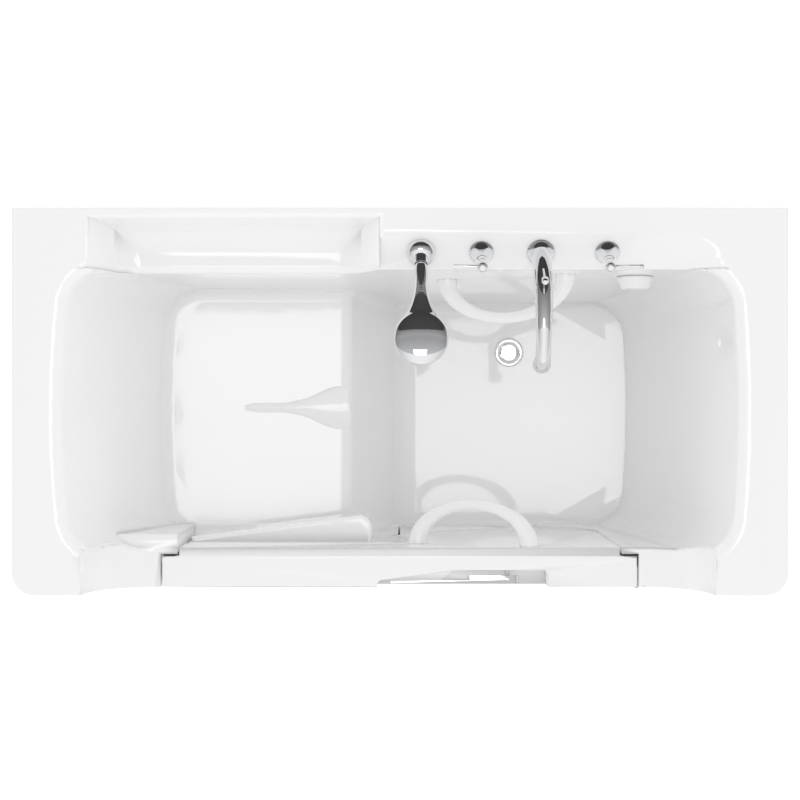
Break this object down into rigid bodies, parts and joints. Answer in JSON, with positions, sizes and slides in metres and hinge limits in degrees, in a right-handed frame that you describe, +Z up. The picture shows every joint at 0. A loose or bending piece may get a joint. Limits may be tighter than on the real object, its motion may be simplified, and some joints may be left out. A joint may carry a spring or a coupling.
{
  "type": "walk-in bathtub",
  "caption": "Deep white walk-in bathtub with a seat, a low-sill door that swings outwards on a side hinge, lever latch, grab bars, deck taps, hand shower and a drain worked by a twist knob.",
  "frame": {"origin": "on the floor, under the middle of the rim", "axes": "+X to the foot end and the hinge, +Y to the wall behind the taps, +Z up"},
  "size_m": [1.524, 0.7675, 1.1199],
  "materials": {
    "acrylic": "glossy",
    "panel": "glossy",
    "bar": "glossy",
    "frame_steel": "satin",
    "steel": "brushed",
    "chrome": "polished",
    "brass": "plain",
    "grey_plastic": "matte",
    "waste_plastic": "matte",
    "rubber": "matte"
  },
  "bodies": {
    "tub": {"tub_shell": "acrylic", "front_apron": "panel", "left_end_panel": "panel", "right_end_panel": "panel", "back_grab_bar": "bar", "base_frame": "frame_steel", "rear_posts": "frame_steel", "front_posts": "frame_steel", "seat_stand": "frame_steel", "levelling_feet": "steel", "foot_locknuts": "steel", "panel_screws": "steel", "back_bar_nuts": "steel", "hinge_jamb_leaf": "steel", "hinge_pin": "steel", "strike_plate": "steel", "hot_escutcheon": "chrome", "cold_escutcheon": "chrome", "spout": "chrome", "shower_holder": "chrome", "drain_flange": "chrome", "hot_valve": "brass", "cold_valve": "brass", "valve_nuts": "brass", "mixer_pipe": "brass", "shower_pipe": "brass", "spout_nut": "brass", "holder_nut": "brass", "spout_aerator": "grey_plastic", "overflow_elbow": "waste_plastic", "overflow_pipe": "waste_plastic", "drain_shoe": "waste_plastic", "waste_pipe": "waste_plastic", "waste_tee": "waste_plastic", "waste_nuts": "waste_plastic", "drain_cable": "rubber"},
    "door": {"door_panel": "acrylic", "door_liner": "acrylic", "door_gasket": "rubber", "door_grab_bar": "bar", "door_bar_bolts": "steel", "hinge_door_leaf": "steel", "bolt_guides": "steel"},
    "latch_handle": {"latch_lever": "chrome", "latch_spindle": "steel"},
    "latch_bar": {"latch_bolt": "steel"},
    "hot_handle_body": {"hot_handle": "chrome"},
    "cold_handle_body": {"cold_handle": "chrome"},
    "diverter": {"diverter_knob": "chrome"},
    "handset": {"hand_shower": "chrome", "spray_face": "grey_plastic"},
    "overflow_twist": {"overflow_knob": "bar"},
    "plug": {"drain_plug": "chrome"}
  },
  "joints": [
    {"name": "door_swing", "type": "hinge", "parent": "tub", "child": "door", "pos_m": [0.488, -0.382, 0.624], "axis": [0, 0, 1], "range_deg": [0, 105]},
    {"name": "latch_turn", "type": "hinge", "parent": "door", "child": "latch_handle", "pos_m": [0.222, -0.36, 0.803], "axis": [0, 1, 0], "range_deg": [0, 90]},
    {"name": "bolt_slide", "type": "slide", "parent": "door", "child": "latch_bar", "axis": [-1, 0, 0], "range_m": [0, 0.022]},
    {"name": "hot_turn", "type": "hinge", "parent": "tub", "child": "hot_handle_body", "pos_m": [0.16, 0.27914, 1.02552], "axis": [0, -0.4955, 0.8686], "range_deg": [0, 90]},
    {"name": "cold_turn", "type": "hinge", "parent": "tub", "child": "cold_handle_body", "pos_m": [0.408, 0.27914, 1.02552], "axis": [0, -0.4955, 0.8686], "range_deg": [-90, 0]},
    {"name": "diverter_lift", "type": "slide", "parent": "tub", "child": "diverter", "axis": [0, -0.4955, 0.8686], "range_m": [0, 0.01]},
    {"name": "handset_lift", "type": "slide", "parent": "tub", "child": "handset", "axis": [0, -0.9063, 0.4226], "range_m": [0, 0.15]},
    {"name": "overflow_turn", "type": "hinge", "parent": "tub", "child": "overflow_twist", "pos_m": [0.484, 0.25696, 0.83], "axis": [0, -0.9996, 0.0271], "range_deg": [0, 120]},
    {"name": "drain_lift", "type": "slide", "parent": "tub", "child": "plug", "axis": [0, 0, 1], "range_m": [0, 0.01]}
  ],
  "couplings": [
    {"joint": "bolt_slide", "follows": "latch_turn", "m_per_rad": 0.014},
    {"joint": "drain_lift", "follows": "overflow_turn", "m_per_rad": 0.004774}
  ]
}
